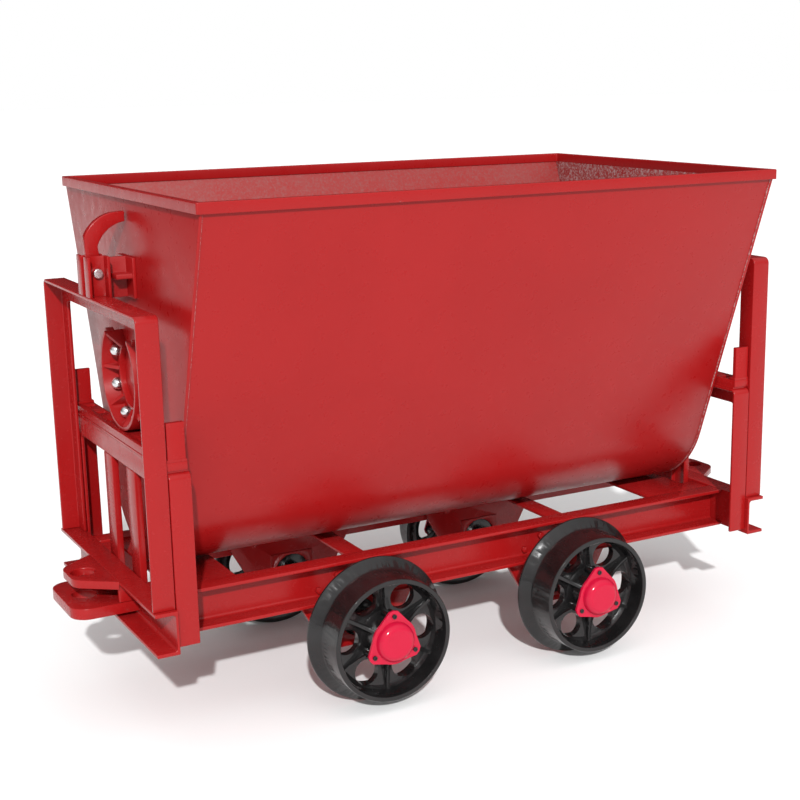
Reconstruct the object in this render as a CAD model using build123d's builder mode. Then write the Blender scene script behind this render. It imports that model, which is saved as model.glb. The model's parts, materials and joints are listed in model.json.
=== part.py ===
from build123d import *
from math import acos, atan2, cos, degrees, hypot, radians, sin
import os

# Rocker tipping mine car, millimetres. X runs along the track, Y across it, Z up.
# The origin is the middle of the car on the plane under the wheel flanges.
os.makedirs("parts", exist_ok=True)

# ---- driving dimensions -----------------------------------------------------
AXLE_X = 290.0            # each axle from the middle of the car
AXLE_Z = 178.0            # flange radius, so the flanges stand on z = 0
TREAD_R = 151.0
FLANGE_R = 178.0
HUB_Y = 388.0             # outer end of the wheel hub
CAP_T = 7.0               # flange of the hub cap

SECTION_H = 100.0         # rolled channel used for sills and end beams
SECTION_B = 52.0
SECTION_TW = 6.0
SECTION_TF = 8.5
SILL_Z = 294.0            # mid-height of sills and end beams
SILL_WEB_Y = 206.0        # inner face of the sill web
BEAM_WEB_X = 796.0        # inner face of the end beam web
BEAM_HALF = 366.0

ANGLE = 50.0              # angle iron of the guard hoops and rail bridges
ANGLE_T = 8.0
HOOP_X = 798.0
HOOP_TOP = 985.0
FRAME_HALF = 354.0
BRIDGE_X = 746.0
BRIDGE_TOP = 645.0
BRIDGE_FOOT = 256.0

RAIL_TOP = 668.0
RAIL_X0 = 751.0
SLOT_PITCH = 88.0
SLOT_FIRST = 118.0

ROCKER_R = 125.0          # rolling radius of the rocker
ROLL_GAP = 0.3
ROCKER_Z = RAIL_TOP + ROLL_GAP + ROCKER_R
ROCKER_RIM_T = 8.0
ROCKER_OUT = 785.0        # front edge of the rocker rim
ROCKER_STEP = 140.0 / 3   # angle between ribs
RING_R = 80.0             # inner ring of the rocker
PEG_H = 14.0

BODY_TOP = 1197.0         # top edge of the hopper sheets
BODY_HALF_TOP = 473.5
BODY_R = 240.0            # rounded trough bottom
BODY_RZ = 585.0
SHEET_T = 5.0
END_T = 8.0
END_X = 742.0             # outer face of the hopper end walls
RIM_H = 24.0

HITCH_X = 898.0           # coupling pin centre
PIN_HOLE_R = 28.0

LATCH_X = 820.0
LATCH_Z = 1036.0

SIDES = ((-1, "l"), (1, "r"))
ROWS = ((-1, "n"), (1, "f"))


def save(piece, name):
    piece.part.label = name
    export_step(piece.part, f"parts/{name}.step")


def across(x):
    # plane facing along +X, local x = +Y and local y = +Z
    return Plane(origin=(x, 0, 0), x_dir=(0, 1, 0), z_dir=(1, 0, 0))


def along(y):
    # plane facing along -Y, local x = +X and local y = +Z
    return Plane(origin=(0, y, 0), x_dir=(1, 0, 0), z_dir=(0, -1, 0))


def channel_section():
    # web on the left, flanges pointing to +x, centred on its height
    half = SECTION_H / 2
    with BuildSketch(mode=Mode.PRIVATE) as outline:
        with Locations((SECTION_B / 2, 0)):
            Rectangle(SECTION_B, SECTION_H)
        with Locations((SECTION_TW + SECTION_B / 2, 0)):
            Rectangle(SECTION_B, SECTION_H - 2 * SECTION_TF, mode=Mode.SUBTRACT)
        inner = outline.vertices().filter_by_position(Axis.X, SECTION_TW - 1, SECTION_TW + 1)
        fillet(inner, 7)
        heel = outline.vertices().group_by(Axis.X)[0]
        fillet(heel, 3)
    return outline.sketch


# ---- chassis ----------------------------------------------------------------
# Side sills: rolled channels with the flanges outward, butted on the end beams.
for sy, row in ROWS:
    start = Plane(origin=(-BEAM_WEB_X, sy * SILL_WEB_Y, SILL_Z), x_dir=(0, sy, 0), z_dir=(1, 0, 0))
    with BuildPart() as sill:
        with BuildSketch(start):
            add(channel_section())
        extrude(amount=2 * BEAM_WEB_X)
    save(sill, f"side_sill_{row}")

# End beams: the same channel across the track, flanges outward.
for sx, end in SIDES:
    start = Plane(origin=(sx * BEAM_WEB_X, -BEAM_HALF, SILL_Z), x_dir=(sx, 0, 0), z_dir=(0, 1, 0))
    with BuildPart() as beam:
        with BuildSketch(start):
            add(channel_section())
        extrude(amount=2 * BEAM_HALF)
    save(beam, f"end_beam_{end}")


def bent_angle(x0, x1, flange_x, foot, top, name):
    # angle iron bent to an inverted U: a plate x0..x1 wide and a leg at flange_x
    with BuildPart() as hoop:
        with BuildSketch(across(x0)):
            with Locations((0, (foot + top) / 2)):
                Rectangle(2 * FRAME_HALF, top - foot)
            with Locations((0, (foot + top) / 2 - ANGLE_T)):
                Rectangle(2 * (FRAME_HALF - ANGLE_T), top - foot, mode=Mode.SUBTRACT)
        extrude(amount=x1 - x0)
        with BuildSketch(across(flange_x)):
            with Locations((0, (foot + top) / 2)):
                Rectangle(2 * FRAME_HALF, top - foot)
            with Locations((0, (foot + top) / 2 - ANGLE)):
                Rectangle(2 * (FRAME_HALF - ANGLE), top - foot, mode=Mode.SUBTRACT)
        extrude(amount=ANGLE_T)
        corners = hoop.edges().filter_by(Axis.X).group_by(Axis.Z)[-1]
        fillet(corners, 16)
        limit = FRAME_HALF - ANGLE
        opening = hoop.edges().filter_by(Axis.X).filter_by_position(Axis.Y, -limit - 1, limit + 1)
        fillet(opening.filter_by_position(Axis.Z, top - ANGLE - 1, top - ANGLE + 1), 14)
    save(hoop, name)


# Tall guard hoop on the end beam, and the shorter rail bridge just inside it.
for sx, end in SIDES:
    low, high = sorted((sx * HOOP_X, sx * (HOOP_X + ANGLE)))
    leg = low if sx > 0 else high - ANGLE_T
    bent_angle(low, high, leg, SILL_Z + SECTION_H / 2, HOOP_TOP, f"guard_hoop_{end}")
    low, high = sorted((sx * BRIDGE_X, sx * (BRIDGE_X + ANGLE)))
    leg = high - ANGLE_T if sx > 0 else low
    bent_angle(low, high, leg, BRIDGE_FOOT, BRIDGE_TOP, f"rail_bridge_{end}")

# Roll rail: bar on a thin base strip, with slots for the rocker pegs.
for sx, end in SIDES:
    mid = sx * (RAIL_X0 + BEAM_WEB_X) / 2
    wide = BEAM_WEB_X - RAIL_X0
    with BuildPart() as rail:
        with BuildSketch(Plane.XY.offset(BRIDGE_TOP)):
            with Locations((mid, 0)):
                Rectangle(wide + 3, 2 * 344)
        extrude(amount=5)
        with BuildSketch(Plane.XY.offset(BRIDGE_TOP + 5)):
            with Locations((mid, 0)):
                Rectangle(wide, 2 * 348)
        extrude(amount=RAIL_TOP - BRIDGE_TOP - 5)
        spots = [(sx * 768, s * (SLOT_FIRST + k * SLOT_PITCH)) for s in (-1, 1) for k in range(3)]
        with BuildSketch(Plane.XY.offset(RAIL_TOP)):
            with Locations(*spots):
                RectangleRounded(24, 20, 4)
        extrude(amount=-18, mode=Mode.SUBTRACT)
    save(rail, f"roll_rail_{end}")

# Rail stops: an upright plate on a foot at both ends of each rail.
with BuildPart() as stops:
    mid = (RAIL_X0 + BEAM_WEB_X) / 2
    wide = BEAM_WEB_X - RAIL_X0
    with BuildSketch(Plane.XY.offset(RAIL_TOP)):
        with Locations(*[(x, y) for x in (-mid, mid) for y in (-336, 336)]):
            Rectangle(wide, 24)
    extrude(amount=6)
    with BuildSketch(Plane.XY.offset(RAIL_TOP + 6)):
        with Locations(*[(x, y) for x in (-mid, mid) for y in (-341, 341)]):
            Rectangle(wide - 5, 12)
    extrude(amount=80)
save(stops, "rail_stops")

# End struts: two light channels, web outward, from the beam up to the bridge angle.
STRUT_Y = 84.0
for sx, end in SIDES:
    with BuildPart() as struts:
        with BuildSketch(Plane.XY.offset(BRIDGE_FOOT)):
            for cy in (-STRUT_Y, STRUT_Y):
                with Locations((sx * (BEAM_WEB_X - 3), cy)):
                    Rectangle(6, 60)
                with Locations((sx * (BEAM_WEB_X - 8), cy - 27), (sx * (BEAM_WEB_X - 8), cy + 27)):
                    Rectangle(16, 6)
        extrude(amount=BRIDGE_TOP - ANGLE - BRIDGE_FOOT)
    save(struts, f"end_struts_{end}")


def nose_plate(sx, root, reach, z0, thick, root_half, tip_half, corner, name):
    # drawbar plate from the end beam outwards with a pin hole
    with BuildPart() as plate:
        with BuildSketch(Plane.XY.offset(z0)) as outline:
            with BuildLine():
                Polyline(
                    (sx * root, -root_half), (sx * reach, -tip_half),
                    (sx * reach, tip_half), (sx * root, root_half), close=True,
                )
            make_face()
            tip = outline.vertices().group_by(Axis.X)[-1 if sx > 0 else 0]
            fillet(tip, corner)
            with Locations((sx * HITCH_X, 0)):
                Circle(PIN_HOLE_R, mode=Mode.SUBTRACT)
        extrude(amount=thick)
        rim = plate.edges().filter_by(Plane.XY).group_by(Axis.Z)[-1]
        chamfer(rim.filter_by(GeomType.CIRCLE).filter_by(lambda e: e.radius < PIN_HOLE_R + 1), 2)
    save(plate, name)


# Couplers: a tapered upper and a wide lower drawbar plate, with side cheeks between.
UPPER_Z = SILL_Z + SECTION_H / 2 - 19
LOWER_Z = 264.0
LOWER_T = 26.0
BEAM_TIP_X = BEAM_WEB_X + SECTION_B
for sx, end in SIDES:
    nose_plate(sx, BEAM_TIP_X, 935, UPPER_Z, 19, 116, 50, 45, f"coupler_upper_{end}")
    inside = BEAM_WEB_X + SECTION_TW
    nose_plate(sx, inside, 953, LOWER_Z, LOWER_T, 108, 108, 42, f"coupler_lower_{end}")
with BuildPart() as cheeks:
    with BuildSketch(Plane.XY.offset(LOWER_Z + LOWER_T)):
        with Locations(*[(x, y) for x in (-828.75, 828.75) for y in (-102, 102)]):
            Rectangle(38.5, 12)
    extrude(amount=SILL_Z + SECTION_H / 2 - SECTION_TF - LOWER_Z - LOWER_T)
save(cheeks, "coupler_cheeks")

# Cross ties: flat bars let in between the sills, one above each axle.
DECK_Z = 330.0
with BuildPart() as ties:
    with BuildSketch(Plane.XY.offset(DECK_Z)):
        with Locations((-AXLE_X, 0), (AXLE_X, 0)):
            Rectangle(50, 2 * SILL_WEB_Y)
    extrude(amount=8)
save(ties, "cross_ties")

# End decks: plates that square the sills to the end beams, notched for the struts.
with BuildPart() as decks:
    with BuildSketch(Plane.XY.offset(DECK_Z)):
        with Locations((-BEAM_WEB_X + 100, 0), (BEAM_WEB_X - 100, 0)):
            Rectangle(200, 2 * SILL_WEB_Y)
        with Locations((-BEAM_WEB_X + 20, 0), (BEAM_WEB_X - 20, 0)):
            Rectangle(42, 264, mode=Mode.SUBTRACT)
    extrude(amount=8)
save(decks, "end_decks")

# ---- running gear -----------------------------------------------------------
# Axle pedestals: trapezoid plates on the inside of the sill webs, with a square pad.
with BuildPart() as pedestals:
    for cx in (-AXLE_X, AXLE_X):
        for sy in (-1, 1):
            with BuildSketch(along(sy * SILL_WEB_Y)):
                with BuildLine():
                    Polyline(
                        (cx - 168, 318),
                        (cx - 168, 260),
                        (cx - 84, 108),
                        (cx + 84, 108),
                        (cx + 168, 260),
                        (cx + 168, 318),
                        close=True,
                    )
                make_face()
                with Locations((cx, AXLE_Z)):
                    Circle(47, mode=Mode.SUBTRACT)
            extrude(amount=sy * 14)
            with BuildSketch(along(sy * (SILL_WEB_Y - 14))):
                with Locations((cx, AXLE_Z)):
                    Rectangle(118, 104)
                    Circle(47, mode=Mode.SUBTRACT)
            extrude(amount=sy * 3)
save(pedestals, "axle_pedestals")

# Pedestal bolts: hexagon heads on the sill web, shanks through web and pedestal.
BOLT_XZ = ((-107, 268), (-58, 298), (58, 298), (107, 268))
with BuildPart() as pedestal_bolts:
    for cx in (-AXLE_X, AXLE_X):
        for sy in (-1, 1):
            face = along(sy * (SILL_WEB_Y + SECTION_TW))
            with BuildSketch(face):
                with Locations(*[(cx + dx, z) for dx, z in BOLT_XZ]):
                    RegularPolygon(9, 6)
            extrude(amount=-sy * 9)
            with BuildSketch(along(sy * (SILL_WEB_Y - 14))):
                with Locations(*[(cx + dx, z) for dx, z in BOLT_XZ]):
                    RegularPolygon(9, 6)
            extrude(amount=sy * 8)
save(pedestal_bolts, "pedestal_bolts")

# Axle blocks: bushed blocks that fill the pedestal holes and grip the axle.
with BuildPart() as blocks:
    for cx in (-AXLE_X, AXLE_X):
        for sy in (-1, 1):
            with BuildSketch(along(sy * (SILL_WEB_Y - 14))):
                with Locations((cx, AXLE_Z)):
                    Circle(47)
                    Circle(22.5, mode=Mode.SUBTRACT)
            extrude(amount=-sy * 14)
            with BuildSketch(along(sy * SILL_WEB_Y)):
                with Locations((cx, AXLE_Z)):
                    Circle(40)
                    Circle(22.5, mode=Mode.SUBTRACT)
            extrude(amount=-sy * 10)
save(blocks, "axle_blocks")

# Fixed axles with turned journals.
JOURNAL_R = 15.0
for cx, end in ((-AXLE_X, "l"), (AXLE_X, "r")):
    with BuildPart() as axle:
        with BuildSketch(along(313.4)):
            with Locations((cx, AXLE_Z)):
                Circle(22.5)
        extrude(amount=626.8)
        with BuildSketch(along(390)):
            with Locations((cx, AXLE_Z)):
                Circle(JOURNAL_R)
        extrude(amount=780)
        ends = axle.faces().filter_by(Axis.Y).sort_by(Axis.Y)
        chamfer(ends[0].edges() + ends[-1].edges(), 1.5)
    save(axle, f"axle_{end}")

# Axle nuts, one at each journal end.
with BuildPart() as nuts:
    for cx in (-AXLE_X, AXLE_X):
        for sy in (-1, 1):
            with BuildSketch(along(sy * 376.6)):
                with Locations((cx, AXLE_Z)):
                    RegularPolygon(25, 6)
                    Circle(JOURNAL_R, mode=Mode.SUBTRACT)
            extrude(amount=-sy * 9)
save(nuts, "axle_nuts")


def ring_point(cx, radius, angle):
    return (cx + radius * cos(radians(angle)), AXLE_Z + radius * sin(radians(angle)))


def wheel_pieces(cx, sy, tag):
    # everything here is drawn for the near side and mirrored for the far side
    def store(piece, name):
        if sy > 0:
            piece.part = piece.part.mirror(Plane.XZ)
        save(piece, f"{name}_{tag}")

    axis = Axis((cx, 0, AXLE_Z), (0, 1, 0))
    # cast wheel: flange, tread, deep dish, windowed web, ribs and long hub barrel
    with BuildPart() as wheel:
        with BuildSketch(Plane(origin=(cx, 0, AXLE_Z), x_dir=(0, -1, 0), z_dir=(1, 0, 0))):
            with BuildLine():
                Polyline(
                    (292, 24), (292, 56), (320, 62), (324, 120), (302, 140), (291, 168),
                    (292, FLANGE_R - 1.5), (295, FLANGE_R), (299, FLANGE_R - 0.5),
                    (318, TREAD_R + 3), (323, TREAD_R + 1), (392, TREAD_R - 1.5),
                    (394, TREAD_R - 3), (394, TREAD_R - 12), (392, TREAD_R - 13.5),
                    (352, TREAD_R - 18), (344, TREAD_R - 26), (340, 60), (350, 52),
                    (HUB_Y, 50), (HUB_Y, 36), (313.7, 36), (313.7, 24),
                    close=True,
                )
            make_face()
        revolve(axis=axis, revolution_arc=360)
        # six round windows through the web
        with BuildSketch(along(-270)):
            with Locations(*[ring_point(cx, 98, 60 * k) for k in range(6)]):
                Circle(31)
        extrude(amount=90, mode=Mode.SUBTRACT)
        # six ribs, low at the rim and climbing the hub barrel
        with BuildSketch(Plane(origin=(cx, 0, AXLE_Z), x_dir=(0, -1, 0), z_dir=(1, 0, 0))):
            with BuildLine():
                Polyline(
                    (332, 48), (332, 134), (356, 134), (356, 112), (360, 88), (369, 66),
                    (381, 50.5), (381, 48),
                    close=True,
                )
            make_face()
        rib = extrude(amount=4, both=True, mode=Mode.PRIVATE)
        for k in range(6):
            add(rib.rotate(axis, 60 * k))
        # three screw bosses down the barrel
        with BuildSketch(along(-352)):
            with Locations(*[ring_point(cx, 58, a) for a in (90, 210, 330)]):
                Circle(13)
        extrude(amount=HUB_Y - 352)
        with BuildSketch(along(-HUB_Y)):
            with Locations(*[ring_point(cx, 61, a) for a in (90, 210, 330)]):
                Circle(3.4)
        extrude(amount=-16, mode=Mode.SUBTRACT)
        with BuildSketch(along(-HUB_Y)):
            with Locations((cx, AXLE_Z)):
                Circle(36)
        extrude(amount=313.7 - HUB_Y, mode=Mode.SUBTRACT)
    store(wheel, "wheel")
    # two sealed ball bearings and the distance ring between them
    with BuildPart() as bearings:
        for y0, deep, outer in ((-313.7, 19, 36), (-332.7, 24.3, 21), (-357, 19, 36)):
            with BuildSketch(along(y0)):
                with Locations((cx, AXLE_Z)):
                    Circle(outer)
                    Circle(JOURNAL_R + 0.3, mode=Mode.SUBTRACT)
            extrude(amount=deep)
    store(bearings, "bearings")
    # domed hub cap with three lobes
    with BuildPart() as cap:
        with BuildSketch(along(-HUB_Y)):
            with Locations((cx, AXLE_Z)):
                Circle(57)
            for a in (90, 210, 330):
                with BuildLine():
                    Polyline(
                        ring_point(cx, 57, a - 38), ring_point(cx, 73.5, a - 8),
                        ring_point(cx, 73.5, a + 8), ring_point(cx, 57, a + 38),
                        ring_point(cx, 20, a), close=True,
                    )
                make_face()
                with Locations(ring_point(cx, 62, a)):
                    Circle(12.5)
        extrude(amount=CAP_T)
        with BuildSketch(along(-HUB_Y - CAP_T)):
            with Locations((cx, AXLE_Z)):
                Circle(48)
        extrude(amount=21)
        top = cap.faces().sort_by(Axis.Y)[0]
        fillet(top.edges(), 18)
        with BuildSketch(along(-HUB_Y)):
            with Locations((cx, AXLE_Z)):
                Circle(34)
        extrude(amount=18, mode=Mode.SUBTRACT)
        with BuildSketch(along(-HUB_Y)):
            with Locations(*[ring_point(cx, 61, a) for a in (90, 210, 330)]):
                Circle(3.4)
        extrude(amount=CAP_T, mode=Mode.SUBTRACT)
    store(cap, "hub_cap")
    # three socket cap screws
    with BuildPart() as screws:
        for a in (90, 210, 330):
            with BuildSketch(along(-HUB_Y + 14)):
                with Locations(ring_point(cx, 61, a)):
                    Circle(3.35)
            extrude(amount=14 + CAP_T)
            with BuildSketch(along(-HUB_Y - CAP_T)):
                with Locations(ring_point(cx, 61, a)):
                    Circle(5.5)
            extrude(amount=4)
            with BuildSketch(along(-HUB_Y - CAP_T - 4)):
                with Locations(ring_point(cx, 61, a)):
                    RegularPolygon(2.8, 6)
            extrude(amount=-2.5, mode=Mode.SUBTRACT)
    store(screws, "cap_screws")


for cx, end in ((-AXLE_X, "l"), (AXLE_X, "r")):
    for sy, row in ROWS:
        wheel_pieces(cx, sy, f"{end}{row}")


# ---- hopper -----------------------------------------------------------------
def trough_outline(radius, grow, top):
    # V walls tangent to the round bottom; grow moves the walls outwards
    px, pz = -BODY_HALF_TOP, BODY_TOP - BODY_RZ
    turn = atan2(pz, px) + acos(BODY_R / hypot(px, pz))
    tx, tz = radius * cos(turn), BODY_RZ + radius * sin(turn)
    reach = (top - tz) / cos(turn + radians(180))
    wx, wz = tx + reach * sin(turn + radians(180)) * -1, top
    with BuildSketch(mode=Mode.PRIVATE) as outline:
        with BuildLine():
            Line((wx, wz), (tx, tz))
            ThreePointArc((tx, tz), (0, BODY_RZ - radius), (-tx, tz))
            Line((-tx, tz), (-wx, wz))
            Line((-wx, wz), (wx, wz))
        make_face()
    return outline.sketch


# Hopper sheet: one plate bent to the V sides and the round bottom.
with BuildPart() as sheet:
    with BuildSketch(across(-END_X + END_T)):
        add(trough_outline(BODY_R - 2, 0, BODY_TOP))
        add(trough_outline(BODY_R - 2 - SHEET_T, 0, BODY_TOP + 1), mode=Mode.SUBTRACT)
    extrude(amount=2 * (END_X - END_T))
save(sheet, "hopper_sheet")

# End walls: flat plates standing a little proud of the bent sheet.
for sx, end in SIDES:
    with BuildPart() as wall:
        with BuildSketch(across(min(sx * END_X, sx * (END_X - END_T)))):
            add(trough_outline(BODY_R, 0, BODY_TOP))
        extrude(amount=END_T)
    save(wall, f"hopper_end_{end}")

# Rim: flat bar frame on the top edge.
with BuildPart() as rim:
    with BuildSketch(Plane.XY.offset(BODY_TOP)):
        RectangleRounded(2 * 750, 2 * 480, 5)
        RectangleRounded(2 * 735, 2 * 464, 5, mode=Mode.SUBTRACT)
    extrude(amount=RIM_H)
    chamfer(rim.faces().sort_by(Axis.Z)[-1].edges(), 1.5)
save(rim, "hopper_rim")


def polar(radius, angle):
    return (radius * cos(radians(angle)), ROCKER_Z + radius * sin(radians(angle)))


def sector(r0, r1, a0, a1):
    with BuildSketch(mode=Mode.PRIVATE) as shape:
        with BuildLine():
            mid = (a0 + a1) / 2
            ThreePointArc(polar(r1, a0), polar(r1, mid), polar(r1, a1))
            Line(polar(r1, a1), polar(r0, a1))
            ThreePointArc(polar(r0, a1), polar(r0, mid), polar(r0, a0))
            Line(polar(r0, a0), polar(r1, a0))
        make_face()
    return shape.sketch


# Rockers: dished half rings with radial ribs, pegs on the rolling face.
ARC0, ARC1 = -230.0, 50.0
PEG_STEP = degrees(SLOT_PITCH / ROCKER_R)
PEG_FIRST = degrees(SLOT_FIRST / ROCKER_R)
for sx, end in SIDES:
    with BuildPart() as rocker:
        with BuildSketch(across(sx * END_X)):
            add(sector(RING_R - 6, ROCKER_R - 1, ARC0, ARC1))
        extrude(amount=sx * 6)
        with BuildSketch(across(sx * END_X)):
            add(sector(ROCKER_R - ROCKER_RIM_T, ROCKER_R, ARC0, ARC1))
        extrude(amount=sx * (ROCKER_OUT - END_X))
        with BuildSketch(across(sx * END_X)):
            add(sector(RING_R - 6, RING_R, ARC0, ARC1))
        extrude(amount=sx * 14)
        # ribs slope from the deep rim to the shallow inner ring
        with BuildSketch(Plane(origin=(0, 0, ROCKER_Z), x_dir=(1, 0, 0), z_dir=(0, 1, 0))):
            with BuildLine():
                Polyline(
                    (sx * END_X, RING_R - 3), (sx * (END_X + 12), RING_R - 3),
                    (sx * (ROCKER_OUT - 1), ROCKER_R - 4), (sx * END_X, ROCKER_R - 4),
                    close=True,
                )
            make_face()
        rib = extrude(amount=4, both=True, mode=Mode.PRIVATE)
        spin = Axis((0, 0, ROCKER_Z), (1, 0, 0))
        for k in range(7):
            turn = 140 - k * ROCKER_STEP
            if k == 0:
                turn -= 1.9
            if k == 6:
                turn += 1.9
            add(rib.rotate(spin, turn))
        # pegs spaced by rolling distance
        with BuildSketch(Plane(origin=(sx * 768, 0, ROCKER_Z), x_dir=(0, 1, 0), z_dir=(1, 0, 0))):
            with BuildLine():
                Polyline(
                    (-6, -ROCKER_R + 3), (-6, -ROCKER_R - 4), (-3, -ROCKER_R - PEG_H),
                    (3, -ROCKER_R - PEG_H), (6, -ROCKER_R - 4), (6, -ROCKER_R + 3),
                    close=True,
                )
            make_face()
        peg = extrude(amount=9, both=True, mode=Mode.PRIVATE)
        for side in (-1, 1):
            for k in range(3):
                add(peg.rotate(spin, side * (PEG_FIRST + k * PEG_STEP)))
    save(rocker, f"rocker_{end}")

# Rocker bolts: round ball-shaped heads between the ribs.
with BuildPart() as domes:
    spots = [polar(101.5, -90 + s * (k + 0.5) * ROCKER_STEP) for s in (-1, 1) for k in range(3)]
    for sx, end in SIDES:
        with BuildSketch(across(sx * (END_X + 6))):
            with Locations(*spots):
                Circle(14)
        extrude(amount=sx * 23)
    for outer in (0, -1):
        fillet(domes.faces().filter_by(Axis.X).group_by(Axis.X)[outer].edges(), 13.4)
save(domes, "rocker_bolts")

# Rocker centre bosses: round discs on the rolling centre of the end walls.
with BuildPart() as boss:
    for sx, end in SIDES:
        with BuildSketch(across(sx * (END_X + 0.3))):
            with Locations((0, ROCKER_Z)):
                Circle(22)
        extrude(amount=sx * 8)
    for outer in (0, -1):
        fillet(boss.faces().filter_by(Axis.X).group_by(Axis.X)[outer].edges(), 3)
save(boss, "rocker_bosses")

# ---- latches ----------------------------------------------------------------
# Keeper on the hopper end wall: base plate, upright web and cross rib.
for sx, end in SIDES:
    with BuildPart() as keeper:
        with BuildSketch(across(sx * END_X)):
            with Locations((0, 1023)):
                Rectangle(104, 92)
        extrude(amount=sx * 8)
        with BuildSketch(along(5)):
            with Locations((sx * (END_X + 23.5), 1023)):
                Rectangle(47, 92)
        extrude(amount=10)
        with BuildSketch(across(sx * END_X)):
            with Locations((0, 1028)):
                Rectangle(96, 11)
        extrude(amount=sx * 45)
    save(keeper, f"latch_keeper_{end}")

# Clevis: two short channels back to back with a gap for the lever.
for sx, end in SIDES:
    with BuildPart() as clevis:
        for sy in (-1, 1):
            with BuildSketch(Plane.XY.offset(HOOP_TOP)):
                with Locations((sx * (HOOP_X + 25), sy * 15)):
                    Rectangle(50, 6)
                with Locations((sx * (HOOP_X + 3), sy * 28), (sx * (HOOP_X + 47), sy * 28)):
                    Rectangle(6, 32)
            extrude(amount=90)
        with BuildSketch(along(50)):
            with Locations((sx * LATCH_X, LATCH_Z)):
                Circle(8.2)
        extrude(amount=100, mode=Mode.SUBTRACT)
    save(clevis, f"latch_clevis_{end}")

# Latch pin: bolt through both channel webs.
for sx, end in SIDES:
    with BuildPart() as pin:
        with BuildSketch(along(30)):
            with Locations((sx * LATCH_X, LATCH_Z)):
                Circle(8)
        extrude(amount=48.5)
        with BuildSketch(along(-18)):
            with Locations((sx * LATCH_X, LATCH_Z)):
                Circle(11)
        extrude(amount=9)
        fillet(pin.faces().sort_by(Axis.Y)[0].edges(), 2)
        with BuildSketch(along(28)):
            with Locations((sx * LATCH_X, LATCH_Z)):
                RegularPolygon(13, 6)
        extrude(amount=10)
    save(pin, f"latch_pin_{end}")

# Latch lever: flat bar swan neck with an eye on the pin.
for sx, end in SIDES:
    with BuildPart() as lever:
        with BuildSketch(along(9.5)):
            with BuildLine():
                Line((sx * 841, LATCH_Z), (sx * 841, 1118))
                ThreePointArc((sx * 841, 1118), (sx * 814, 1152), (sx * 768, 1169))
                Line((sx * 768, 1169), (sx * 747.5, 1170))
                Line((sx * 747.5, 1170), (sx * 747.5, 1147))
                ThreePointArc((sx * 747.5, 1147), (sx * 791, 1128), (sx * 813, 1094))
                Line((sx * 813, 1094), (sx * 805, LATCH_Z))
                Line((sx * 805, LATCH_Z), (sx * 841, LATCH_Z))
            make_face()
            with Locations((sx * LATCH_X, LATCH_Z)):
                Circle(21)
            with Locations((sx * LATCH_X, LATCH_Z)):
                Circle(8.3, mode=Mode.SUBTRACT)
        extrude(amount=19)
    save(lever, f"latch_lever_{end}")
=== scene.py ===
import json
import math

import bmesh
import bpy
from mathutils import Matrix, Vector


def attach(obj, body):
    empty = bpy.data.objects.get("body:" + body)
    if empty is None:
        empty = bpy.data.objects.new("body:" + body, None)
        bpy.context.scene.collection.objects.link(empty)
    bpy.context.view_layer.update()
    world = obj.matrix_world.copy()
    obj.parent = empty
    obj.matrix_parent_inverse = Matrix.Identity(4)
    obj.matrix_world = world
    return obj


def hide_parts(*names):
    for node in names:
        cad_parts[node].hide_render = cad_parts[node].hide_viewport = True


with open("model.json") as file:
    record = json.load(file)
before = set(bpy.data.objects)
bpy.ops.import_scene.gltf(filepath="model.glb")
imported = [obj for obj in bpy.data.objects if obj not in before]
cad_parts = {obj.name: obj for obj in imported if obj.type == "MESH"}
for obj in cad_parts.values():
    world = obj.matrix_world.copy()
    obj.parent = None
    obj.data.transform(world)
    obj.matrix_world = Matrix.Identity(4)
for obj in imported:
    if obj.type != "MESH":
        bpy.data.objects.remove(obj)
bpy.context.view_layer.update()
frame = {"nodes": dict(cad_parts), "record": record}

# ---- Side sills and end beams -------------------------------------------------
# Rolled steel channels, cut square and welded into the main frame. They are
# blasted, primed and sprayed with a thick gloss red enamel that rounds the edges.


class Flow:
    """One output socket; adding or multiplying it puts a Math node behind it."""

    def __init__(self, paint, socket):
        self.paint = paint
        self.socket = socket

    def math(self, operation, other):
        return self.paint.node("ShaderNodeMath", {"operation": operation}, {0: self, 1: other})

    def __add__(self, other):
        return self.math("ADD", other)

    def __mul__(self, other):
        return self.math("MULTIPLY", other)


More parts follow.
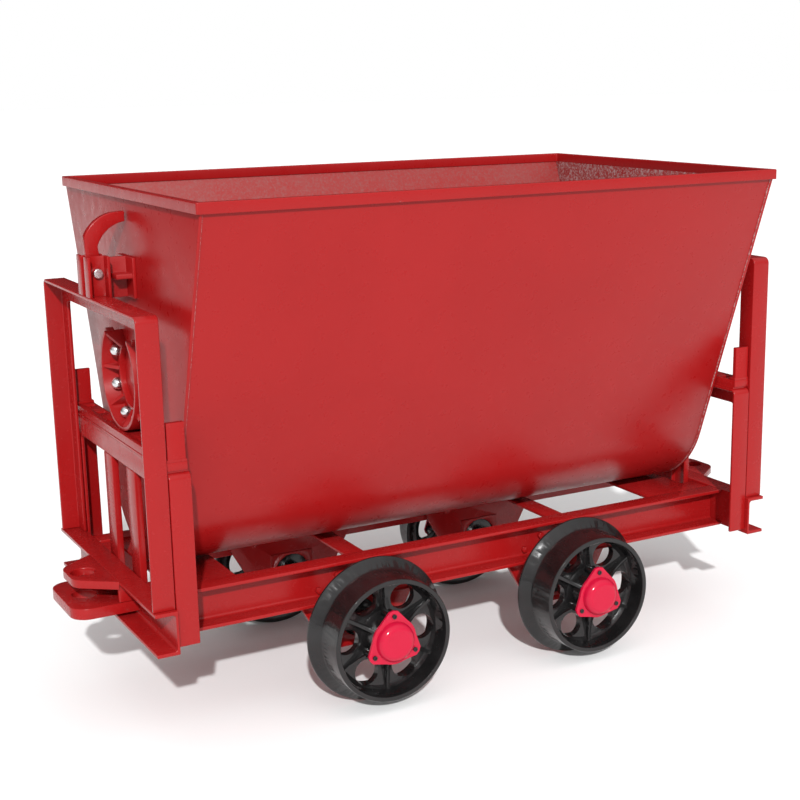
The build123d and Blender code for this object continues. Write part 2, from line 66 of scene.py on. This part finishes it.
class Paint:
    """A material with one Principled shader, filled in by the methods below."""

    def __init__(self, name):
        self.material = bpy.data.materials.new(name)
        self.material.use_nodes = True
        self.tree = self.material.node_tree
        self.shader = self.tree.nodes["Principled BSDF"]
        self.place = self.node("ShaderNodeTexCoord", out="Object")

    def node(self, kind, settings=None, values=None, out=0):
        made = self.tree.nodes.new(kind)
        for key, value in (settings or {}).items():
            if key == "stops":
                ramp = made.color_ramp
                for spot, shade in value[2:]:
                    ramp.elements.new(spot)
                for element, (spot, shade) in zip(ramp.elements, sorted(value)):
                    element.position = spot
                    element.color = shade if isinstance(shade, tuple) else (shade,) * 3 + (1,)
            else:
                setattr(made, key, value)
        for key, value in (values or {}).items():
            self.join(made.inputs[key], value)
        return Flow(self, made.outputs[out])

    def join(self, socket, value):
        if isinstance(value, Flow):
            self.tree.links.new(value.socket, socket)
        else:
            socket.default_value = value

    def noise(self, scale, detail=2.0, rough=0.5):
        values = {"Vector": self.place, "Scale": scale, "Detail": detail, "Roughness": rough}
        return self.node("ShaderNodeTexNoise", None, values, out="Fac")

    def ramp(self, value, *stops):
        return self.node("ShaderNodeValToRGB", {"stops": list(stops)}, {"Fac": value})

    def blend(self, share, a, b):
        made = self.tree.nodes.new("ShaderNodeMix")
        made.data_type = "RGBA"
        for key, value in ((0, share), (6, a), (7, b)):
            self.join(made.inputs[key], value)
        return Flow(self, made.outputs[2])

    def bump(self, height, strength, distance, under=None):
        values = {"Height": height, "Strength": strength, "Distance": distance}
        if under:
            values["Normal"] = under
        return self.node("ShaderNodeBump", None, values)

    def done(self, **values):
        for key, value in values.items():
            self.join(self.shader.inputs[key.replace("_", " ")], value)
        return self.material


def rgb(r, g, b):
    return (r, g, b, 1.0)


def enamel(name, bright, deep, rough=0.24, dust=0.0, dust_shade=(0.5, 0.5, 0.5, 1.0)):
    # sprayed gloss: cloudy coats, fine mottling, orange peel and a little settled dust
    p = Paint(name)
    cloud = p.noise(3.5, 4.0, 0.6)
    grain = p.noise(420.0, 3.0, 0.7)
    colour = p.blend(p.ramp(cloud, (0.35, 0.0), (0.7, 1.0)), bright, deep)
    colour = p.blend(p.ramp(grain, (0.42, 0.0), (0.78, 0.3)), colour, deep)
    normal = p.node("ShaderNodeNewGeometry", out="Normal")
    up = p.node("ShaderNodeSeparateXYZ", None, {0: normal}, out="Z")
    patches = p.ramp(p.noise(26.0, 6.0, 0.7), (0.4, 0.15), (0.75, 1.0))
    settled = p.ramp(up, (0.3, 0.0), (0.95, 1.0)) * patches
    film = settled * dust
    colour = p.blend(film, colour, dust_shade)
    peel = p.bump(p.noise(260.0, 1.0), 0.10, 0.0005)
    skin = p.bump(p.noise(9.0, 2.0), 0.12, 0.004, peel)
    matt = p.ramp(p.noise(38.0, 5.0, 0.65), (0.3, rough - 0.05), (0.75, rough + 0.08))
    return p.done(
        Base_Color=colour, Roughness=matt + film * 0.6, Normal=skin, Specular_IOR_Level=0.28
    )


RED = rgb(0.285, 0.0065, 0.007)
DEEP_RED = rgb(0.265, 0.0055, 0.006)
PALE_DUST = rgb(0.36, 0.22, 0.21)
frame_red = enamel("frame_red_enamel", RED, DEEP_RED, 0.24, 0.03, PALE_DUST)


def finish_mesh(piece, sharp=40.0):
    mesh = piece.data
    mesh.shade_smooth()
    mesh.set_sharp_from_angle(angle=math.radians(sharp))


def put(name, mesh, body, slot, *nodes):
    # the finished piece at the origin, riding on its body and standing for its nodes
    mesh.name = name
    piece = bpy.data.objects.new(name, mesh)
    bpy.context.collection.objects.link(piece)
    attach(piece, body)
    if nodes:
        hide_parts(*nodes)
    return piece


def bake(piece):
    # turns modifiers and geometry nodes into a plain mesh and clears the source
    graph = bpy.context.evaluated_depsgraph_get()
    graph.update()
    mesh = bpy.data.meshes.new_from_object(piece.evaluated_get(graph))
    bpy.data.objects.remove(piece)
    return mesh


def rounded(node, width, segments=2, angle=33.0):
    # the node's solid with its loose triangles merged and its edges rounded
    soft = bmesh.new()
    soft.from_mesh(frame["nodes"][node].data)
    bmesh.ops.remove_doubles(soft, verts=soft.verts, dist=2e-6)
    bmesh.ops.dissolve_limit(
        soft, angle_limit=math.radians(0.6), verts=soft.verts, edges=soft.edges
    )
    mesh = bpy.data.meshes.new(node)
    soft.to_mesh(mesh)
    soft.free()
    mesh.materials.clear()
    work = bpy.data.objects.new(node + "_work", mesh)
    bpy.context.collection.objects.link(work)
    edge = work.modifiers.new("edge", "BEVEL")
    edge.width = width
    edge.segments = segments
    edge.limit_method = "ANGLE"
    edge.angle_limit = math.radians(angle)
    edge.use_clamp_overlap = True
    edge.miter_outer = "MITER_ARC"
    return bake(work)


body_of_node = {
    node: body for body, nodes in frame["record"]["behaviour"]["bodies"].items() for node in nodes
}


def dress(nodes, width, material, slot, segments=2, sharp=40.0, angle=33.0):
    made = []
    for node in nodes:
        mesh = rounded(node, width, segments, angle)
        mesh.materials.append(material)
        piece = put(node + "_finished", mesh, body_of_node[node], slot, node)
        finish_mesh(piece, sharp)
        made.append(piece)
    return made


dress(
    ("side_sill_n", "side_sill_f", "end_beam_l", "end_beam_r"),
    0.0018, frame_red, "frame_red", 3,
)

# ---- Guard hoops and rail bridges ---------------------------------------------
# Angle iron bent hot to inverted U frames. The tall hoop stands on the end beam
# and the short bridge stands behind it, both welded and painted with the frame.
dress(
    ("guard_hoop_l", "guard_hoop_r", "rail_bridge_l", "rail_bridge_r"),
    0.0022, frame_red, "frame_red", 3,
)

# ---- Roll rails, stops and struts -----------------------------------------------
# Flat bar rails with punched slots, upright stop plates at their ends, and two
# light channel struts under each bridge, all welded on.
dress(
    ("roll_rail_l", "roll_rail_r", "rail_stops", "end_struts_l", "end_struts_r"),
    0.0014, frame_red, "frame_red",
)

# ---- Drawbar plates ---------------------------------------------------------------
# Thick flame cut plates, edges dressed round, with a bored pin hole through both.
dress(
    ("coupler_upper_l", "coupler_upper_r", "coupler_lower_l", "coupler_lower_r", "coupler_cheeks"),
    0.0035, frame_red, "frame_red", 3,
)

# ---- Cross ties, end decks and pedestals ------------------------------------------
# Flat plates between the sills and trapezoid axle plates inside them.
dress(("cross_ties", "end_decks", "axle_pedestals"), 0.0012, frame_red, "frame_red")

# ---- Hopper ------------------------------------------------------------------------
# One steel sheet bent to the V sides and round bottom, two flat end walls standing
# a little proud of it, and a bar frame round the top. Inside faces get a paler, greyer speckled paint,
# the end walls much paler than the sides.
hopper_red = enamel("hopper_red_enamel", RED, DEEP_RED, 0.30, 0.02, PALE_DUST)


def lining(name, pale_tone, pale_share):
    # paler, greyer speckled paint for the inside faces: pale_tone is the paler colour, pale_share how
    # much of it shows
    p = Paint(name)
    cloud = p.noise(5.0, 6.0, 0.65)
    grit = p.noise(160.0, 4.0, 0.8)
    colour = p.blend(p.ramp(cloud, (0.3, 0.1), (0.75, 0.6)), RED, rgb(0.20, 0.065, 0.06))
    pale_patches = p.ramp(grit, (0.46, 0.0), (0.64, pale_share))
    colour = p.blend(pale_patches, colour, pale_tone)
    speckle_bump = p.bump(grit, 0.2, 0.0006, p.bump(p.noise(12.0, 3.0), 0.15, 0.004))
    return p.done(
        Base_Color=colour, Roughness=p.ramp(cloud, (0.3, 0.35), (0.8, 0.55)), Normal=speckle_bump,
        Specular_IOR_Level=0.3,
    )


# the inside faces are painted paler and greyer, the end walls much paler than the sides
side_lining = lining("hopper_side_rubbed", rgb(0.20, 0.11, 0.105), 0.35)
end_lining = lining("hopper_end_rubbed", rgb(0.42, 0.33, 0.33), 0.85)
walls = dress(("hopper_sheet", "hopper_end_l", "hopper_end_r"), 0.0012, hopper_red, "hopper_red", 2, 30.0)
TROUGH_Z = 0.585
INSIDE = 0.35          # how squarely a face must look inwards to count as lining
for wall in walls:
    is_sheet = wall.name.startswith("hopper_sheet")
    wall.data.materials.append(side_lining if is_sheet else end_lining)
    for face in wall.data.polygons:
        x, y, z = face.center
        # towards the trough's long axis below it, level above it
        inward = Vector((0, -y, max(TROUGH_Z - z, 1e-4)) if is_sheet else (-x, 0, 0))
        if face.normal.dot(inward.normalized()) > INSIDE:
            face.material_index = 1
dress(("hopper_rim",), 0.0035, hopper_red, "hopper_red", 4)

# ---- Rockers -------------------------------------------------------------------------
# Cast ring rockers bolted to the end walls through their webs; pegs on the rolling
# face drop into the rail slots. Bright ball-headed bolts sit between the ribs.
dress(("rocker_l", "rocker_r", "rocker_bosses"), 0.0014, hopper_red, "hopper_red", 2, 35.0)


def steel(name, shade, rough, scale=900.0):
    p = Paint(name)
    streak = p.noise(scale, 2.0)
    cloud = p.noise(40.0, 4.0)
    tone = p.ramp(cloud, (0.3, rgb(*[c * 0.86 for c in shade])), (0.7, rgb(*shade)))
    matt = p.ramp(streak, (0.3, rough - 0.06), (0.7, rough + 0.1))
    return p.done(Base_Color=tone, Metallic=1.0, Roughness=matt, Normal=p.bump(streak, 0.08, 0.0002))


bright_steel = steel("bright_steel", (0.78, 0.78, 0.79), 0.24)


def stamp_tree(name):
    # copies a stamp onto every point, turned to the point's facing direction
    tree = bpy.data.node_groups.new(name, "GeometryNodeTree")
    face = tree.interface
    face.new_socket("Geometry", in_out="OUTPUT", socket_type="NodeSocketGeometry")
    face.new_socket("Geometry", in_out="INPUT", socket_type="NodeSocketGeometry")
    face.new_socket("Stamp", in_out="INPUT", socket_type="NodeSocketObject")
    face.new_socket("Turn Seed", in_out="INPUT", socket_type="NodeSocketInt")
    face.new_socket("Finish", in_out="INPUT", socket_type="NodeSocketMaterial")
    n = tree.nodes
    start, end = n.new("NodeGroupInput"), n.new("NodeGroupOutput")
    facing = n.new("GeometryNodeInputNamedAttribute")
    facing.data_type = "FLOAT_VECTOR"
    facing.inputs["Name"].default_value = "facing"
    aim = n.new("FunctionNodeAlignRotationToVector")
    aim.axis = "Z"
    spin = n.new("FunctionNodeRandomValue")
    spin.inputs[2].default_value = 0.0
    spin.inputs[3].default_value = math.pi / 3
    spin_turn = n.new("FunctionNodeAxisAngleToRotation")
    spin_turn.inputs["Axis"].default_value = (0, 0, 1)
    turned = n.new("FunctionNodeRotateRotation")
    turned.rotation_space = "LOCAL"
    info = n.new("GeometryNodeObjectInfo")
    copies = n.new("GeometryNodeInstanceOnPoints")
    real = n.new("GeometryNodeRealizeInstances")
    coat = n.new("GeometryNodeSetMaterial")
    for a, b in (
        (facing.outputs["Attribute"], aim.inputs["Vector"]),
        (start.outputs["Turn Seed"], spin.inputs["Seed"]),
        (spin.outputs[1], spin_turn.inputs["Angle"]),
        (aim.outputs["Rotation"], turned.inputs["Rotation"]),
        (spin_turn.outputs["Rotation"], turned.inputs["Rotate By"]),
        (start.outputs["Stamp"], info.inputs["Object"]),
        (start.outputs["Geometry"], copies.inputs["Points"]),
        (info.outputs["Geometry"], copies.inputs["Instance"]),
        (turned.outputs["Rotation"], copies.inputs["Rotation"]),
        (copies.outputs["Instances"], real.inputs["Geometry"]),
        (real.outputs["Geometry"], coat.inputs["Geometry"]),
        (start.outputs["Finish"], coat.inputs["Material"]),
        (coat.outputs["Geometry"], end.inputs["Geometry"]),
    ):
        tree.links.new(a, b)
    return tree


stamps = stamp_tree("stamp_on_points")


def feed(modifier, **values):
    for item in modifier.node_group.interface.items_tree:
        key = item.name.replace(" ", "_")
        if item.in_out == "INPUT" and key in values:
            modifier[item.identifier] = values[key]


def stamp(name, mesh, spots, material, seed=1):
    # spots are (place, facing) pairs; returns one plain mesh of all the copies
    mould = bpy.data.objects.new(name + "_mould", mesh)
    points = bpy.data.meshes.new(name + "_points")
    points.from_pydata([spot for spot, facing in spots], [], [])
    facings = points.attributes.new("facing", "FLOAT_VECTOR", "POINT")
    for k, (spot, facing) in enumerate(spots):
        facings.data[k].vector = facing
    work = bpy.data.objects.new(name + "_work", points)
    bpy.context.collection.objects.link(work)
    bpy.context.collection.objects.link(mould)
    modifier = work.modifiers.new("stamp", "NODES")
    modifier.node_group = stamps
    feed(modifier, Stamp=mould, Turn_Seed=seed, Finish=material)
    made = bake(work)
    bpy.data.objects.remove(mould)
    return made


def turned(profile, sides=32):
    # a lathe shape about +Z from (radius, height) pairs, closed at both ends
    solid = bmesh.new()
    rings = []
    for radius, height in profile:
        if radius < 1e-6:
            rings.append([solid.verts.new((0, 0, height))])
            continue
        ring = []
        for k in range(sides):
            turn = math.tau * k / sides
            ring.append(solid.verts.new((radius * math.cos(turn), radius * math.sin(turn), height)))
        rings.append(ring)
    for low, high in zip(rings, rings[1:]):
        for k in range(sides):
            j = (k + 1) % sides
            if len(high) == 1:
                solid.faces.new((low[k], low[j], high[0]))
            elif len(low) == 1:
                solid.faces.new((low[0], high[j], high[k]))
            else:
                solid.faces.new((low[k], low[j], high[j], high[k]))
    if len(rings[0]) > 1:
        solid.faces.new(list(reversed(rings[0])))
    if len(rings[-1]) > 1:
        solid.faces.new(rings[-1])
    mesh = bpy.data.meshes.new("turned")
    solid.to_mesh(mesh)
    solid.free()
    return mesh


def arc(radius, from_deg, to_deg, steps, height):
    # (radius, height) pairs of an arc whose centre is on the axis
    out = []
    for k in range(steps + 1):
        turn = math.radians(from_deg + (to_deg - from_deg) * k / steps)
        out.append((radius * math.cos(turn), height + radius * math.sin(turn)))
    return out


ROCKER_Z = 0.7933      # rolling centre of the rockers
SEAT_X = 0.748         # outer face of the rocker web, under the bolts
BOLT_PITCH_R = 0.1015
RIB_STEP = 140.0 / 3   # degrees from rib to rib
BALL_R = 0.014
SHANK_H = 0.009
dome_profile = [(BALL_R, 0.0)]
dome_profile += arc(BALL_R, 0, 84, 12, SHANK_H)
dome_profile.append((0.0, BALL_R + SHANK_H))
dome_spots = []
for side in (-1, 1):
    for half in (-1, 1):
        for k in range(3):
            turn = math.radians(-90 + half * (k + 0.5) * RIB_STEP)
            y, z = BOLT_PITCH_R * math.cos(turn), ROCKER_Z + BOLT_PITCH_R * math.sin(turn)
            dome_spots.append(((side * SEAT_X, y, z), (side, 0, 0)))
domes = stamp("rocker_domes", turned(dome_profile, 36), dome_spots, bright_steel)
finish_mesh(put("rocker_bolts_finished", domes, "hopper", "bright_steel", "rocker_bolts"), 50)

# ---- Latches ------------------------------------------------------------------------------
# A keeper welded to the end wall, two short channels on the hoop as a clevis, and a
# flame cut swan-neck lever that turns on a bright bolt between them.
dress(("latch_keeper_l", "latch_keeper_r"), 0.0012, hopper_red, "hopper_red")
dress(("latch_clevis_l", "latch_clevis_r"), 0.0012, frame_red, "frame_red")
dress(("latch_lever_l", "latch_lever_r"), 0.0028, frame_red, "frame_red", 3)
dress(("latch_pin_l", "latch_pin_r"), 0.0008, bright_steel, "bright_steel")

# ---- Axles and blocks -----------------------------------------------------------------------
# Turned steel axles held in bushed cast blocks inside the pedestals, nuts at both ends.


def cast_black(name, rough):
    p = Paint(name)
    sand = p.noise(330.0, 4.0, 0.7)
    cloud = p.ramp(p.noise(14.0, 4.0), (0.35, 0.0), (0.7, 1.0))
    colour = p.blend(cloud, rgb(0.0065, 0.0060, 0.0062), rgb(0.013, 0.012, 0.0125))
    matt = p.ramp(p.noise(60.0, 4.0), (0.3, rough - 0.05), (0.75, rough + 0.1))
    skin = p.bump(sand, 0.16, 0.0005, p.bump(p.noise(30.0, 3.0), 0.2, 0.0015))
    return p.done(
        Base_Color=colour, Roughness=matt, Normal=skin, Coat_Weight=0.3, Coat_Roughness=0.08,
        Specular_IOR_Level=0.3,
    )


gloss_black = cast_black("gloss_black_casting", 0.2)
dress(("axle_blocks",), 0.0012, gloss_black, "black_iron")
dress(("axle_l", "axle_r", "axle_nuts"), 0.001, bright_steel, "bright_steel")
dress(("pedestal_bolts",), 0.0010, frame_red, "frame_red")

# ---- Wheels ------------------------------------------------------------------------------------
# Cast wheels with a deep dish, six windows and six ribs, painted gloss black; a
# crimson domed cap on three lobes is screwed over each bearing.
CORNERS = ("ln", "lf", "rn", "rf")
dress([f"wheel_{c}" for c in CORNERS], 0.0022, gloss_black, "black_iron", 3, 45.0)
dress([f"bearings_{c}" for c in CORNERS], 0.0005, bright_steel, "bright_steel")
CRIMSON = rgb(0.46, 0.006, 0.034)
DEEP_CRIMSON = rgb(0.42, 0.005, 0.030)
crimson = enamel("crimson_cap_enamel", CRIMSON, DEEP_CRIMSON, 0.16)
dress([f"hub_cap_{c}" for c in CORNERS], 0.0016, crimson, "cap_red", 3, 50.0)
screw_black = cast_black("blackened_screw", 0.3)
dress([f"cap_screws_{c}" for c in CORNERS], 0.0006, screw_black, "black_screw")

# ---- Studio --------------------------------------------------------------------------------------
# A pale floor, a white surround that darkens to the back, and one low lamp in front.
REACH = 60.0           # half the width of the floor, metres
corners = [(-REACH, -REACH, 0), (REACH, -REACH, 0), (REACH, REACH, 0), (-REACH, REACH, 0)]
floor_mesh = bpy.data.meshes.new("floor")
floor_mesh.from_pydata(corners, [], [(0, 1, 2, 3)])
floor = bpy.data.objects.new("floor", floor_mesh)
bpy.context.collection.objects.link(floor)
pale = Paint("pale_floor")
floor_shade = pale.ramp(pale.noise(0.6, 3.0), (0.3, 0.89), (0.7, 0.91))
floor_mesh.materials.append(
    pale.done(Base_Color=floor_shade, Roughness=0.9, Specular_IOR_Level=0.1)
)

world = bpy.data.worlds.new("surround")
bpy.context.scene.world = world
world.use_nodes = True
sky = world.node_tree
backdrop = sky.nodes["Background"]
backdrop.inputs["Strength"].default_value = 1.0
# bright above and in front, dark at the back; the camera itself sees plain white
way = sky.nodes.new("ShaderNodeTexCoord")
facing = sky.nodes.new("ShaderNodeVectorMath")
facing.operation = "DOT_PRODUCT"
facing.inputs[1].default_value = Vector((-0.15, -0.55, 0.82)).normalized()
shade = sky.nodes.new("ShaderNodeMapRange")
for key, value in (("From Min", -0.2), ("From Max", 0.95), ("To Min", 0.03), ("To Max", 1.15)):
    shade.inputs[key].default_value = value
seen = sky.nodes.new("ShaderNodeLightPath")
tone = sky.nodes.new("ShaderNodeMix")
tone.data_type = "RGBA"
tone.inputs[7].default_value = (1.0, 1.0, 1.0, 1)
sky.links.new(way.outputs["Generated"], facing.inputs[0])
sky.links.new(facing.outputs["Value"], shade.inputs["Value"])
sky.links.new(shade.outputs["Result"], tone.inputs[6])
sky.links.new(seen.outputs["Is Camera Ray"], tone.inputs[0])
sky.links.new(tone.outputs[2], backdrop.inputs["Color"])


def lamp(name, toward, strength, softness):
    light = bpy.data.lights.new(name, "SUN")
    light.energy = strength
    light.angle = math.radians(softness)
    shine = bpy.data.objects.new(name, light)
    shine.rotation_mode = "QUATERNION"
    shine.rotation_quaternion = Vector(toward).to_track_quat("-Z", "Y")
    bpy.context.collection.objects.link(shine)


KEY_TOWARD = (0.342, 0.788, -0.511)
KEY_STRENGTH = 3.5
KEY_SOFTNESS = 1.5     # degrees across
lamp("key", KEY_TOWARD, KEY_STRENGTH, KEY_SOFTNESS)

# The camera stands near the left end and looks a little down, with a slight roll.
CAMERA_PLACE = (-1.76215, -3.24777, 1.46892)
AZIMUTH, ELEVATION, ROLL = 29.67, -13.52, -0.75

camera = bpy.data.cameras.new("camera")
camera.sensor_width = 36.0
camera.lens = 66.215
camera.shift_x = -0.0615
camera.shift_y = 0.0290
camera.clip_end = 200.0
viewer = bpy.data.objects.new("camera", camera)
bpy.context.collection.objects.link(viewer)
azimuth, elevation, roll = map(math.radians, (AZIMUTH, ELEVATION, ROLL))
level_share = math.cos(elevation)
ahead = Vector((
    math.sin(azimuth) * level_share, math.cos(azimuth) * level_share, math.sin(elevation)
))
level = ahead.cross(Vector((0, 0, 1))).normalized()
upright = level.cross(ahead)
right = level * math.cos(roll) + upright * math.sin(roll)
top = upright * math.cos(roll) - level * math.sin(roll)
turn = Matrix((right, top, -ahead)).transposed().to_4x4()
turn.translation = Vector(CAMERA_PLACE)
viewer.matrix_world = turn
bpy.context.scene.camera = viewer
bpy.context.scene.view_settings.view_transform = "Standard"
